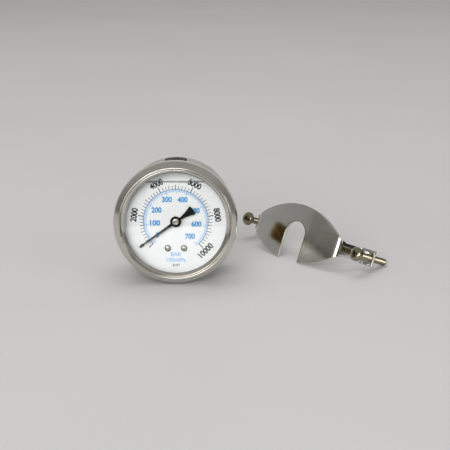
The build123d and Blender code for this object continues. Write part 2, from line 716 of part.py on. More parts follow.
# ================================================================ resting places
def gauge_tilt():
    """Angle and axis height at which the bezel's rear corner and the case's rear corner both rest."""
    r1, d1, c1 = BEZEL_R - BEZEL_CORNER_R, -BEZEL_REAR_Z - BEZEL_CORNER_R, BEZEL_CORNER_R
    r2, d2, c2 = CASE_R - CASE_CORNER_R, -CASE_BACK_Z - CASE_CORNER_R, CASE_CORNER_R
    a, b = r1 - r2, d2 - d1
    tilt = acos((c2 - c1) / hypot(a, b)) - atan2(b, a)
    return tilt, r1 * cos(tilt) + d1 * sin(tilt) + c1


def gauge_place():
    tilt, height = gauge_tilt()
    return Pos(0, 0, height) * Rot(90 - degrees(tilt), 0, 0)


def clamp_tilt():
    """Angle at which the plate's lower edge, beside the slot, and the screws' points all rest."""
    drop = PLATE_END_HALF_W + PLATE_BOTTOM_Y
    arc_r = (PLATE_HALF**2 + drop**2) / (2 * -drop)
    edge_x = SLOT_W / 2
    edge_y = PLATE_BOTTOM_Y + arc_r - sqrt(arc_r**2 - edge_x**2)
    slope = ARCH_RISE / (PLATE_HALF - SHEET / 2)
    edge_z = ARCH_RISE - SHEET - ARCH_R * slope**2 / 2 - edge_x**2 / (2 * ARCH_R)
    rise, run = -SCREW_R - edge_y, edge_z - (SCREW_TIP_Z + SCREW_TIP_CHAMFER)
    return atan2(rise, run), edge_y, edge_z


def clamp_place():
    tilt, edge_y, edge_z = clamp_tilt()
    turn = radians(CLAMP_TURN_DEG)
    along = Vector(cos(turn), sin(turn), 0)
    out = Vector(sin(turn) * cos(tilt), -cos(turn) * cos(tilt), sin(tilt))
    up = out.cross(along)
    height = -(up.Z * edge_y + out.Z * edge_z)
    return Plane(origin=(CLAMP_X, CLAMP_Y, height), x_dir=along, z_dir=out).location


GAUGE_NODES = {
    "case_shell": case_shell,
    "bezel_ring": bezel_ring,
    "window": window,
    "window_gasket": window_gasket,
    "dial": dial,
    "dial_screws": dial_screws,
    "dial_posts": dial_posts,
    "stop_pin": stop_pin,
    "pointer_blade": pointer_blade,
    "pointer_hub": pointer_hub,
    "pinion_arbor": pinion_arbor,
    "sector_gear": sector_gear,
    "sector_arbor": sector_arbor,
    "link_rod": link_rod,
    "link_pin": link_pin,
    "link_end_pin": link_end_pin,
    "front_plate": front_plate,
    "rear_plate": rear_plate,
    "movement_base": movement_base,
    "movement_pillars": movement_pillars,
    "movement_screws": movement_screws,
    "hairspring": hairspring,
    "hairspring_stud": hairspring_stud,
    "bourdon_tube": bourdon_tube,
    "tube_foot": tube_foot,
    "tube_end": tube_end,
    "stem": stem,
    "stem_seal": stem_seal,
    "stem_screws": stem_screws,
    "restrictor": restrictor,
    "fill_plug": fill_plug,
}
CLAMP_NODES = {
    "clamp_bracket": clamp_bracket,
    "left_clamp_screw": lambda: clamp_screw(-1),
    "right_clamp_screw": lambda: clamp_screw(1),
}


def build():
    """Every node in the row frame, and the shift that puts the origin under the box's centre."""
    placed = {name: gauge_place() * make() for name, make in GAUGE_NODES.items()}
    placed.update({name: clamp_place() * make() for name, make in CLAMP_NODES.items()})
    box = Compound(list(placed.values())).bounding_box()
    shift = Pos(-(box.min.X + box.max.X) / 2, -(box.min.Y + box.max.Y) / 2, 0)
    return {name: shift * solid for name, solid in placed.items()}, shift


parts, shift = build()
os.makedirs("parts", exist_ok=True)
for name, solid in parts.items():
    export_step(solid, f"parts/{name}.step")
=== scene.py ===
"""Looks for a panel-mount pressure gauge and the slotted clamp lying beside it.

Shapes are drawn in millimetres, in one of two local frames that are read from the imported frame:
the gauge frame has +Z out of the dial, +Y at its top and z = 0 at the bezel's crest; the clamp frame
has +X along the plate, +Y away from the slot's mouth and +Z out of the plate's convex face.
"""
import json
from math import asin, atan2, cos, degrees, pi, radians, sin, sqrt, tan

import bmesh
import bpy
from mathutils import Matrix, Vector


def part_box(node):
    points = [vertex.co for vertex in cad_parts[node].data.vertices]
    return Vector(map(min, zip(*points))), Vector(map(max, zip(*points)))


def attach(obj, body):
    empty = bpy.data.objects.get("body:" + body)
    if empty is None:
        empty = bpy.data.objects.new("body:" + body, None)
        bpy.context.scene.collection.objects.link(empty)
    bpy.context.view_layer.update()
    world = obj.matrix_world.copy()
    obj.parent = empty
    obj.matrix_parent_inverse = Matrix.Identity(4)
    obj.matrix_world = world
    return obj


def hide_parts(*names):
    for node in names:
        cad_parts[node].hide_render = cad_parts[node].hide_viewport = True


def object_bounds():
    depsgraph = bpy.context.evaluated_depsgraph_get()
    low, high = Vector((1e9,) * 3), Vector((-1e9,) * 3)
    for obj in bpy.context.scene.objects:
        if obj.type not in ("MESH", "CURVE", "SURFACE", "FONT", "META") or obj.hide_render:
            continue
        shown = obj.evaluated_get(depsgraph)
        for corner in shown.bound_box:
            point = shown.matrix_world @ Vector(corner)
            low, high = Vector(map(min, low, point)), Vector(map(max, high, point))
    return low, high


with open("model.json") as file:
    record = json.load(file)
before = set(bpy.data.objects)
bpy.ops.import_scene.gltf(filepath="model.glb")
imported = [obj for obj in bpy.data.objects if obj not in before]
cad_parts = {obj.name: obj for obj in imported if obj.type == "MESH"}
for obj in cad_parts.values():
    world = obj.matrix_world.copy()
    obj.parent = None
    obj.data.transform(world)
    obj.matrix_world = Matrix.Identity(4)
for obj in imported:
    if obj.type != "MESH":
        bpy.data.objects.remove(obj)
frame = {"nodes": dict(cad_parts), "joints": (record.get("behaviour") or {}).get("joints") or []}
cad_low, cad_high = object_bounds()

MM = 0.001
JOINTS = {joint["name"]: joint for joint in frame["joints"]}

# ---------------------------------------------------------------- sizes shared with the frame, in mm
POINTER_Z = -7.6
DIAL_Z = -9.5
BEZEL_R = 34.3
CASE_R = 31.7
CASE_BACK_Z = -36.0
WINDOW_BACK_Z = -5.2
PLUG_Z = -17.6
DIAL_SCREW_X = 4.5
DIAL_SCREW_Y = -15.3
NECK_BACK_Z = -40.5
SQUARE_BACK_Z = -50.5
STEM_END_Z = -64.5
SHEET = 1.5
SCREW_R = 2.0
SCREW_UNDERHEAD_Z = -4.5
SCREW_TIP_Z = -31.5


# ================================================================ local frames
def gauge_matrix():
    """The gauge frame, from the pointer's hinge: its axis is the dial's normal."""
    hinge = JOINTS["pointer_turn"]
    z_axis = Vector(hinge["axis"]).normalized()
    x_axis = Vector((1, 0, 0))
    y_axis = z_axis.cross(x_axis)
    origin = Vector(hinge["pos_m"]) - z_axis * POINTER_Z * MM
    return basis(x_axis, y_axis, z_axis, origin)


def clamp_matrix():
    """The clamp frame, from the screws: their slides give the normal, their boxes the line of the plate."""
    z_axis = Vector(JOINTS["left_screw_travel"]["axis"]).normalized()
    left, right = node_centre("left_clamp_screw"), node_centre("right_clamp_screw")
    x_axis = (right - left).normalized()
    y_axis = z_axis.cross(x_axis)
    points = [v.co for v in frame["nodes"]["left_clamp_screw"].data.vertices]
    end = min(point.dot(z_axis) for point in points) + 0.01 * MM
    tips = [point for point in points if point.dot(z_axis) < end]
    tip = sum(tips, Vector()) / len(tips)
    origin = tip + (right - left) / 2 - z_axis * SCREW_TIP_Z * MM
    return basis(x_axis, y_axis, z_axis, origin)


def node_centre(node):
    low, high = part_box(node)
    return (low + high) / 2


def basis(x_axis, y_axis, z_axis, origin):
    matrix = Matrix((x_axis, y_axis, z_axis)).transposed().to_4x4()
    matrix.translation = origin
    return matrix


GAUGE = gauge_matrix()
CLAMP = clamp_matrix()
SCREW_X = (node_centre("right_clamp_screw") - node_centre("left_clamp_screw")).length / MM / 2


# ================================================================ materials
MARKS_PER_MM = 6.0
MARKS_ROUND = 0.35


def new_material(name):
    material = bpy.data.materials.new(name)
    material.use_nodes = True
    nodes, links = material.node_tree.nodes, material.node_tree.links
    return material, nodes, links, nodes["Principled BSDF"]


def local_mm(nodes, links, home=None):
    """The surface point in millimetres, in the shared frame or in the local frame that home gives."""
    coordinates = nodes.new("ShaderNodeTexCoord")
    point = coordinates.outputs["Object"]
    if home:
        mapping = nodes.new("ShaderNodeMapping")
        mapping.vector_type = "TEXTURE"
        mapping.inputs["Location"].default_value = home.translation
        mapping.inputs["Rotation"].default_value = home.to_euler()
        links.new(point, mapping.inputs["Vector"])
        point = mapping.outputs["Vector"]
    scaled = nodes.new("ShaderNodeVectorMath")
    scaled.operation = "SCALE"
    scaled.inputs["Scale"].default_value = 1 / MM
    links.new(point, scaled.inputs[0])
    return scaled.outputs[0]


def turned_mm(nodes, links, home):
    """A point for lathe marks: radius, a little of the angle, and height, so noise runs round home's Z."""
    point = local_mm(nodes, links, home)
    parts = nodes.new("ShaderNodeSeparateXYZ")
    links.new(point, parts.inputs[0])
    flat = nodes.new("ShaderNodeCombineXYZ")
    links.new(parts.outputs["X"], flat.inputs["X"])
    links.new(parts.outputs["Y"], flat.inputs["Y"])
    radius = nodes.new("ShaderNodeVectorMath")
    radius.operation = "LENGTH"
    links.new(flat.outputs[0], radius.inputs[0])
    angle = nodes.new("ShaderNodeMath")
    angle.operation = "ARCTAN2"
    links.new(parts.outputs["Y"], angle.inputs[0])
    links.new(parts.outputs["X"], angle.inputs[1])
    folded = nodes.new("ShaderNodeMath")
    folded.operation = "ABSOLUTE"
    links.new(angle.outputs[0], folded.inputs[0])
    unrolled = nodes.new("ShaderNodeCombineXYZ")
    links.new(radius.outputs["Value"], unrolled.inputs["X"])
    links.new(folded.outputs[0], unrolled.inputs["Y"])
    links.new(parts.outputs["Z"], unrolled.inputs["Z"])
    return stretched(nodes, links, unrolled.outputs[0], (MARKS_PER_MM, MARKS_ROUND, MARKS_PER_MM))


def stretched(nodes, links, point, scale):
    mapping = nodes.new("ShaderNodeMapping")
    mapping.inputs["Scale"].default_value = scale
    links.new(point, mapping.inputs["Vector"])
    return mapping.outputs["Vector"]


def noise(nodes, links, point, scale, detail=4.0, rough=0.55):
    texture = nodes.new("ShaderNodeTexNoise")
    texture.inputs["Scale"].default_value = scale
    texture.inputs["Detail"].default_value = detail
    texture.inputs["Roughness"].default_value = rough
    links.new(point, texture.inputs["Vector"])
    return texture.outputs["Fac"]


def spread(nodes, links, value, low, high, start=0.3, end=0.7):
    span = nodes.new("ShaderNodeMapRange")
    span.inputs["From Min"].default_value = start
    span.inputs["From Max"].default_value = end
    span.inputs["To Min"].default_value = low
    span.inputs["To Max"].default_value = high
    links.new(value, span.inputs["Value"])
    return span.outputs["Result"]


def blended(nodes, links, value, colors):
    ramp = nodes.new("ShaderNodeValToRGB")
    ramp.color_ramp.elements[0].position = 0.3
    ramp.color_ramp.elements[0].color = (*colors[0], 1)
    ramp.color_ramp.elements[1].position = 0.7
    ramp.color_ramp.elements[1].color = (*colors[1], 1)
    links.new(value, ramp.inputs["Fac"])
    return ramp.outputs["Color"]


def bumped(nodes, links, shader, height, strength, depth_mm):
    bump = nodes.new("ShaderNodeBump")
    bump.inputs["Strength"].default_value = strength
    bump.inputs["Distance"].default_value = depth_mm * MM
    links.new(height, bump.inputs["Height"])
    links.new(bump.outputs["Normal"], shader.inputs["Normal"])


def metal(name, colors, rough, grain=0.12, lathe_frame=None, smudge=0.08):
    """Bare or plated metal: fine marks round a lathe's axis or all over, faint smudges and tone changes."""
    material, nodes, links, shader = new_material(name)
    shader.inputs["Metallic"].default_value = 1.0
    point = turned_mm(nodes, links, lathe_frame) if lathe_frame else local_mm(nodes, links)
    lines = noise(nodes, links, point, 1.0 if lathe_frame else 3.0, 6.0, 0.65)
    clouds = noise(nodes, links, local_mm(nodes, links), smudge, 3.0)
    mixed = nodes.new("ShaderNodeMath")
    mixed.operation = "MULTIPLY_ADD"
    mixed.inputs[1].default_value = 0.5
    links.new(lines, mixed.inputs[0])
    halved = nodes.new("ShaderNodeMath")
    halved.operation = "MULTIPLY"
    halved.inputs[1].default_value = 0.5
    links.new(clouds, halved.inputs[0])
    links.new(halved.outputs[0], mixed.inputs[2])
    links.new(spread(nodes, links, mixed.outputs[0], rough[0], rough[1]), shader.inputs["Roughness"])
    links.new(blended(nodes, links, clouds, colors), shader.inputs["Base Color"])
    bumped(nodes, links, shader, lines, grain, 0.02)
    return material


def rubber(name):
    material, nodes, links, shader = new_material(name)
    point = local_mm(nodes, links)
    fine = noise(nodes, links, point, 6.0, 5.0, 0.7)
    dust = noise(nodes, links, point, 0.5, 3.0)
    links.new(blended(nodes, links, dust, ((0.010, 0.010, 0.010), (0.028, 0.027, 0.026))),
              shader.inputs["Base Color"])
    links.new(spread(nodes, links, fine, 0.42, 0.62), shader.inputs["Roughness"])
    bumped(nodes, links, shader, fine, 0.25, 0.05)
    return material


def enamel(name, colors, rough, gloss=0.4):
    """Stoved paint with a slight orange peel."""
    material, nodes, links, shader = new_material(name)
    point = local_mm(nodes, links)
    peel = noise(nodes, links, point, 2.2, 3.0)
    tone = noise(nodes, links, point, 0.12, 2.0)
    links.new(blended(nodes, links, tone, colors), shader.inputs["Base Color"])
    links.new(spread(nodes, links, peel, rough[0], rough[1]), shader.inputs["Roughness"])
    shader.inputs["Specular IOR Level"].default_value = gloss
    bumped(nodes, links, shader, peel, 0.05, 0.02)
    return material


def ink(name, color):
    """Printed ink: flat, a little uneven where it took the screen."""
    material, nodes, links, shader = new_material(name)
    point = local_mm(nodes, links)
    cover = noise(nodes, links, point, 5.0, 4.0, 0.6)
    pale = tuple(min(1.0, c * 1.15 + 0.01) for c in color)
    links.new(blended(nodes, links, cover, (color, pale)), shader.inputs["Base Color"])
    links.new(spread(nodes, links, cover, 0.45, 0.6), shader.inputs["Roughness"])
    shader.inputs["Specular IOR Level"].default_value = 0.2
    bumped(nodes, links, shader, cover, 0.1, 0.01)
    return material


def clear(name, ior, color, rough_high):
    """Glass or glycerine with faint smears. It mirrors less than real glass, so the pointer stays dark."""
    material, nodes, links, shader = new_material(name)
    shader.inputs["Base Color"].default_value = (*color, 1)
    shader.inputs["Transmission Weight"].default_value = 1.0
    shader.inputs["IOR"].default_value = ior
    shader.inputs["Specular IOR Level"].default_value = 0.2
    smear = noise(nodes, links, local_mm(nodes, links), 0.15, 4.0, 0.6)
    links.new(spread(nodes, links, smear, 0.0, rough_high, 0.45, 0.8), shader.inputs["Roughness"])
    return material


def cloth(name):
    """Black felt."""
    material, nodes, links, shader = new_material(name)
    shader.inputs["Roughness"].default_value = 0.95
    nap = noise(nodes, links, local_mm(nodes, links), 0.2, 2.0)
    links.new(blended(nodes, links, nap, ((0.02, 0.02, 0.02), (0.03, 0.03, 0.03))),
              shader.inputs["Base Color"])
    return material


def floor_material():
    material, nodes, links, shader = new_material("studio_floor")
    point = local_mm(nodes, links)
    fibre = noise(nodes, links, point, 0.8, 6.0, 0.7)
    tone = noise(nodes, links, point, 0.004, 2.0)
    links.new(blended(nodes, links, tone, ((0.60, 0.60, 0.598), (0.63, 0.63, 0.628))),
              shader.inputs["Base Color"])
    links.new(spread(nodes, links, fibre, 0.75, 0.9), shader.inputs["Roughness"])
    bumped(nodes, links, shader, fibre, 0.05, 0.05)
    return material


POLISHED = metal("polished_stainless", ((0.60, 0.585, 0.545), (0.68, 0.66, 0.62)), (0.10, 0.20), 0.04, GAUGE)
DRUM = metal("brushed_case_steel", ((0.55, 0.54, 0.51), (0.64, 0.63, 0.60)), (0.20, 0.36), 0.25, GAUGE)
PLATED = metal("bright_plate", ((0.62, 0.61, 0.58), (0.70, 0.69, 0.665)), (0.06, 0.14), 0.05, None, 0.05)
# Brighter, rougher metal for the plate's edges. It is partly the bare cut edge and partly a painted
# highlight where the edges catch the light.
CUT_EDGE_HIGHLIGHT = metal("cut_edge_painted_highlight", ((0.78, 0.77, 0.75), (0.88, 0.87, 0.85)), (0.28, 0.42), 0.2, None, 0.3)
NICKEL = metal("warm_nickel", ((0.26, 0.225, 0.155), (0.38, 0.335, 0.245)), (0.08, 0.18), 0.10)
STEEL = metal("machined_steel", ((0.50, 0.47, 0.42), (0.62, 0.59, 0.54)), (0.18, 0.32), 0.15, None, 0.4)
BRASS = metal("machined_brass", ((0.62, 0.43, 0.17), (0.76, 0.57, 0.26)), (0.20, 0.34), 0.12, None, 0.3)
# The stem's brass is a much darker copy of the machined brass. It is painted shade for the stem's unlit
# back, and the tube's foot, end and restrictor use it too.
SHADED_STEM_BRASS = metal("turned_brass_painted_shade", ((0.27, 0.19, 0.055), (0.38, 0.28, 0.10)), (0.18, 0.32), 0.20, GAUGE)
BRONZE = metal("drawn_bronze", ((0.52, 0.28, 0.13), (0.66, 0.40, 0.20)), (0.22, 0.36), 0.10, None, 0.3)
RUBBER = rubber("black_rubber")
DIAL_WHITE = enamel("white_enamel", ((0.69, 0.70, 0.705), (0.715, 0.725, 0.73)), (0.38, 0.46))
POINTER_BLACK = enamel("black_enamel", ((0.002, 0.002, 0.002), (0.004, 0.004, 0.004)), (0.5, 0.65), 0.15)
INK_BLACK = ink("black_ink", (0.003, 0.003, 0.004))
INK_BLUE = ink("blue_ink", (0.014, 0.235, 0.53))
INK_PALE_BLUE = ink("pale_blue_ink", (0.11, 0.33, 0.68))
INK_GREY = ink("grey_ink", (0.09, 0.09, 0.10))
CARD_CLOTH = cloth("black_felt")
GLASS = clear("window_glass", 1.5, (0.985, 0.995, 0.99), 0.02)
GLYCERINE = clear("glycerine", 1.47, (0.99, 0.995, 1.0), 0.0)

NODE_MATERIALS = {
    "window": GLASS,
    "window_gasket": RUBBER,
    "dial": DIAL_WHITE,
    "dial_posts": BRASS,
    "stop_pin": STEEL,
    "pointer_blade": POINTER_BLACK,
    "pinion_arbor": STEEL,
    "sector_gear": BRASS,
    "sector_arbor": STEEL,
    "link_rod": BRASS,
    "link_pin": STEEL,
    "link_end_pin": STEEL,
    "front_plate": BRASS,
    "rear_plate": BRASS,
    "movement_base": BRASS,
    "movement_pillars": BRASS,
    "movement_screws": STEEL,
    "hairspring": BRONZE,
    "hairspring_stud": BRASS,
    "bourdon_tube": BRONZE,
    "tube_foot": SHADED_STEM_BRASS,
    "tube_end": SHADED_STEM_BRASS,
    "stem_seal": RUBBER,
    "stem_screws": STEEL,
    "restrictor": SHADED_STEM_BRASS,
}


def dress_cad_nodes():
    """Gives every carried-over node its material and smooth shading; no shape is touched."""
    for name, material in NODE_MATERIALS.items():
        mesh = frame["nodes"][name].data
        mesh.materials.clear()
        mesh.materials.append(material)
        soften(mesh)


# ================================================================ mesh helpers
def soften(mesh, sharp_degrees=32):
    """Smooth shading, with edges sharper than the angle kept crisp."""
    for polygon in mesh.polygons:
        polygon.use_smooth = True
    mesh.set_sharp_from_angle(angle=radians(sharp_degrees))


def add_piece(name, mesh, matrix, body, material, replaced=(), sharp_degrees=32):
    """A finished mesh in its local frame, in metres, becomes a piece in the shared frame, on its body."""
    mesh.transform(matrix)
    soften(mesh, sharp_degrees)
    mesh.materials.clear()
    mesh.materials.append(material)
    piece = bpy.data.objects.new(name, mesh)
    bpy.context.scene.collection.objects.link(piece)
    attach(piece, body)
    if replaced:
        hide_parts(*replaced)
    return piece


def mesh_from(name, build):
    """Runs build(bm) in millimetres and returns the mesh in metres."""
    bm = bmesh.new()
    build(bm)
    bmesh.ops.remove_doubles(bm, verts=bm.verts, dist=0.0005)
    bmesh.ops.scale(bm, vec=(MM, MM, MM), verts=bm.verts)
    bmesh.ops.recalc_face_normals(bm, faces=bm.faces)
    mesh = bpy.data.meshes.new(name)
    bm.to_mesh(mesh)
    bm.free()
    return mesh


def arc(centre, radius, start, end, steps):
    """Points of an arc in an outline, angles in degrees."""
    turns = [radians(start + (end - start) * i / steps) for i in range(steps + 1)]
    return [(centre[0] + radius * cos(a), centre[1] + radius * sin(a)) for a in turns]


def lifted(outline, z):
    """The outline with its heights counted from z."""
    return [(r, z + height) for r, height in outline]


def smooth_run(points, steps):
    """A Catmull-Rom curve through the points."""
    padded = [points[0]] + points + [points[-1]]
    run = []
    for i in range(1, len(padded) - 2):
        p0, p1, p2, p3 = (Vector(p) for p in padded[i - 1:i + 3])
        for k in range(steps):
            t = k / steps
            spot = 0.5 * (2 * p1 + (p2 - p0) * t + (2 * p0 - 5 * p1 + 4 * p2 - p3) * t**2
                          + (3 * p1 - p0 - 3 * p2 + p3) * t**3)
            run.append((spot.x, spot.y))
    return run + [points[-1]]


def eased(outline, size):
    """The outline with every corner cut back into a small round, where its sides leave room."""
    points = []
    for i, place in enumerate(outline):
        corner = Vector(place)
        to_last = Vector(outline[i - 1]) - corner
        to_next = Vector(outline[(i + 1) % len(outline)]) - corner
        room = min(to_last.length, to_next.length)
        opening = to_last.angle(to_next) if room > 1e-6 else pi
        if opening > radians(160) or room < 2.2 * size:
            points.append(place)
            continue
        start = corner + to_last.normalized() * size
        end = corner + to_next.normalized() * size
        for t in (0, 0.25, 0.5, 0.75, 1):
            spot = start * (1 - t) ** 2 + corner * 2 * t * (1 - t) + end * t**2
            points.append((spot.x, spot.y))
    return points


def ring_at(bm, r, z, count):
    """A ring of points round Z, or one point repeated where the ring has no radius."""
    if r < 1e-6:
        return [bm.verts.new((0, 0, z))] * count
    turns = [2 * pi * k / count for k in range(count)]
    return [bm.verts.new((r * cos(a), r * sin(a), z)) for a in turns]


def skin(bm, low, high):
    """Faces between two rings of as many points: quads, or triangles where a ring is one point."""
    for k in range(len(low)):
        n = (k + 1) % len(low)
        corners = []
        for vert in (low[k], low[n], high[n], high[k]):
            if vert not in corners:
                corners.append(vert)
        if len(corners) > 2:
            bm.faces.new(corners)


def lathe(bm, outline, segments=256, closed=True):
    """Turns an outline of (radius, height) points about Z."""
    rings = [ring_at(bm, r, z, segments) for r, z in outline]
    for low, high in zip(rings, rings[1:]):
        skin(bm, low, high)
    if closed:
        skin(bm, rings[-1], rings[0])


def thread(bm, root_r, crest_r, pitch, z_low, z_high, taper=0.0, run_out=1.0, segments=64, steps=10):
    """A helical V thread as an open tube from z_low to z_high, fading into the root at both ends."""
    rows = int((z_high - z_low) / pitch * steps)
    height = z_high - z_low
    rings = []
    for i in range(rows + 1):
        z = z_low + height * i / rows
        fade = min(1.0, (z - z_low) / run_out, (z_high - z) / run_out)
        ring = []
        for k in range(segments):
            angle = 2 * pi * k / segments
            phase = (z / pitch - k / segments) % 1.0
            wave = 1 - abs(2 * phase - 1)
            flattened = min(1.0, max(0.0, wave * 1.25 - 0.125))
            proud = (crest_r - root_r) * flattened * max(0.0, fade)
            r = root_r + proud - taper * (z_high - z) / height
            ring.append(bm.verts.new((r * cos(angle), r * sin(angle), z)))
        rings.append(ring)
    for low, high in zip(rings, rings[1:]):
        skin(bm, low, high)
    return rings[0], rings[-1]


def capped(bm, ring, z, r):
    """Closes a ring of points with a chamfered end at height z and radius r."""
    end = ring_at(bm, r, z, len(ring))
    skin(bm, ring, end)
    bm.faces.new(end)


def cut(mesh, tool):
    """Subtracts one mesh from another and returns the result."""
    body = bpy.data.objects.new("body_to_cut", mesh)
    knife = bpy.data.objects.new("cutting_tool", tool)
    for obj in (body, knife):
        bpy.context.scene.collection.objects.link(obj)
    modifier = body.modifiers.new("cut", "BOOLEAN")
    modifier.operation = "DIFFERENCE"
    modifier.object = knife
    modifier.solver = "EXACT"
    evaluated = body.evaluated_get(bpy.context.evaluated_depsgraph_get())
    result = bpy.data.meshes.new_from_object(evaluated)
    bpy.data.objects.remove(body)
    bpy.data.objects.remove(knife)
    return result


def joined(name, meshes):
    """Several meshes as one."""
    bm = bmesh.new()
    for mesh in meshes:
        bm.from_mesh(mesh)
    result = bpy.data.meshes.new(name)
    bm.to_mesh(result)
    bm.free()
    return result


def cross_outline(length, width):
    """A plus sign with arms of that half length and half width."""
    a, b = length, width
    return [(a, b), (b, b), (b, a), (-b, a), (-b, b), (-a, b),
            (-a, -b), (-b, -b), (-b, -a), (b, -a), (b, -b), (a, -b)]


def cross_recess(top, reach, depth):
    """A driver's tapered cross, as a tool to cut with, from above the head down to that depth."""
    def build(bm):
        high = [bm.verts.new((x, y, top + 0.2 * depth)) for x, y in cross_outline(reach, 0.24 * reach)]
        low = [bm.verts.new((x, y, top - depth)) for x, y in cross_outline(0.42 * reach, 0.13 * reach)]
        bm.faces.new(high)
        bm.faces.new(low[::-1])
        skin(bm, low, high)

    return mesh_from("recess", build)


# ================================================================ gauge pieces
CREST_R = 30.82
CREST_ROUND = 0.45
LIP_R = 28.0
REAR_R = 31.8
REAR_ROUND = 0.6
SKIRT_END_Z = -7.4
BAND_END = (33.3, -1.5)
CASE_WALL_R = 30.8
CASE_RIM_R = 33.1
CASE_CORNER_R = 1.5
STEM_HOLE_R = 7.2
STEM_BORE_R = 3.2
STEM_NECK_R = 7.0
STEM_FLANGE_R = 13.0
PLUG_TOP_R = 33.3
HUB_R = 1.95


def bezel():
    """Rolled ring: turned-in lip, step, rounded crest, sloped band, round shoulder, skirt and rear edge."""
    lip = [(LIP_R + 0.05, -2.38), (LIP_R, -2.2), (LIP_R + 0.15, -2.05), (29.7, -0.92), (29.95, -1.0)]
    step = [(30.16, -1.2), (30.3, -0.7)]
    crest = arc((CREST_R, -CREST_ROUND), CREST_ROUND, 175, 58, 14)
    band = [(31.9, -0.6), BAND_END]
    shoulder = smooth_run([BAND_END, (33.85, -2.1), (34.2, -3.2), (BEZEL_R, -4.6)], 6)
    skirt = [(BEZEL_R, SKIRT_END_Z)]
    rear = arc((BEZEL_R - REAR_ROUND, SKIRT_END_Z), REAR_ROUND, 0, -90, 6)
    rear.append((REAR_R, SKIRT_END_Z - REAR_ROUND))
    inside = [(REAR_R, -7.25), (33.4, -7.2), (33.4, -4.0), (33.1, -3.1), (32.45, -2.42)]
    outline = lip + step + crest + band + shoulder[1:] + skirt + rear + inside
    return mesh_from("bezel", lambda bm: lathe(bm, outline, 384))


def case_drum():
    """Deep-drawn drum with a shallow groove round its back and a chamfered hole for the stem."""
    corner_z = CASE_BACK_Z + CASE_CORNER_R
    front = [(CASE_RIM_R, -6.2), (CASE_RIM_R, -7.19), (CASE_R + 0.05, -7.19), (CASE_R, -7.6)]
    corner = arc((CASE_R - CASE_CORNER_R, corner_z), CASE_CORNER_R, 0, -90, 12)
    groove = [(27.0, 0), (26.6, 0.14), (26.2, 0.14), (25.8, 0)]
    hole = [(STEM_HOLE_R + 0.3, 0), (STEM_HOLE_R, 0.3), (STEM_HOLE_R, 1.0)]
    inside = [(30.2, 1.0), (CASE_WALL_R, 1.6)]
    outline = front + corner + lifted(groove + hole + inside, CASE_BACK_Z) + [(CASE_WALL_R, -6.2)]
    return mesh_from("case", lambda bm: lathe(bm, outline, 384))


def fill_plug():
    """Rubber bung, domed on top with a ring round its nib, its skirt pressed onto the drum."""
    skirt = [(0, 28.4), (4.3, 28.4), (4.4, 30.2), (6.1, 30.4)]
    shoulder = arc((5.5, PLUG_TOP_R - 0.6), 0.6, 0, 90, 8)
    ring = [(4.4, PLUG_TOP_R), (4.1, PLUG_TOP_R - 0.15), (3.8, PLUG_TOP_R), (1.9, PLUG_TOP_R)]
    nib = [(1.7, PLUG_TOP_R + 0.42), (0.9, PLUG_TOP_R + 0.45), (0, PLUG_TOP_R + 0.45)]
    outline = skirt + shoulder + ring + nib
    mesh = mesh_from("fill_plug", lambda bm: lathe(bm, outline, 128, closed=False))
    mesh.transform(Matrix.Translation((0, 0, PLUG_Z * MM)) @ Matrix.Rotation(radians(-90), 4, "X"))
    return mesh


def pointer_hub():
    """Turned bush with a chamfered rim round a shallow recess."""
    rim = [(0, -0.8), (HUB_R, -0.8), (HUB_R, 0.95), (1.7, 1.22), (1.25, 1.3)]
    recess = [(1.18, 1.16), (0.72, 1.16), (0.7, 1.0), (0, 1.0)]
    outline = eased(lifted(rim + recess, POINTER_Z), 0.05)
    return mesh_from("hub", lambda bm: lathe(bm, outline, 96, closed=False))


def pointer_rivet():
    """The shaft's end in the hub, countersunk in its middle."""
    outline = lifted([(0.66, 0.9), (0.66, 1.05), (0.5, 1.12), (0.3, 1.1), (0.12, 0.85), (0, 0.8)], POINTER_Z)
    return mesh_from("rivet", lambda bm: lathe(bm, outline, 48, closed=False))


def stem():
    """Flange, neck, chamfered wrench square and tapered pipe thread, with its bore."""
    seat = CASE_BACK_Z + 1.1
    neck_end = NECK_BACK_Z + 0.05
    boss = [(STEM_BORE_R, -24.0), (8.0, -24.0), (8.0, seat + 2.9)]
    flange = [(STEM_FLANGE_R, seat + 2.9), (STEM_FLANGE_R, seat), (STEM_NECK_R, seat)]
    neck = [(STEM_NECK_R, neck_end), (STEM_BORE_R, neck_end)]
    outline = eased(boss + flange + neck, 0.15)
    round_part = mesh_from("stem_round", lambda bm: lathe(bm, outline, 128))
    square = mesh_from("stem_square", wrench_square)
    threaded = mesh_from("stem_thread", threaded_end)
    return joined("stem", [round_part, square, threaded])


def wrench_square(bm):
    """A square with its corners turned off round and chamfered at both ends."""
    half, corner_r, chamfer = 8.5, 10.9, 0.8
    segments = 192
    levels = [(SQUARE_BACK_Z, chamfer), (SQUARE_BACK_Z + 0.5, 0.0), (NECK_BACK_Z - 0.5, 0.0),
              (NECK_BACK_Z, chamfer)]
    rings = []
    for z, inset in levels:
        ring = []
        for k in range(segments):
            angle = 2 * pi * k / segments
            side = half / max(abs(cos(angle)), abs(sin(angle)))
            r = min(side, corner_r - inset)
            ring.append(bm.verts.new((r * cos(angle), r * sin(angle), z)))
        rings.append(ring)
    for low, high in zip(rings, rings[1:]):
        skin(bm, low, high)
    bm.faces.new(rings[0])
    bm.faces.new(rings[-1])


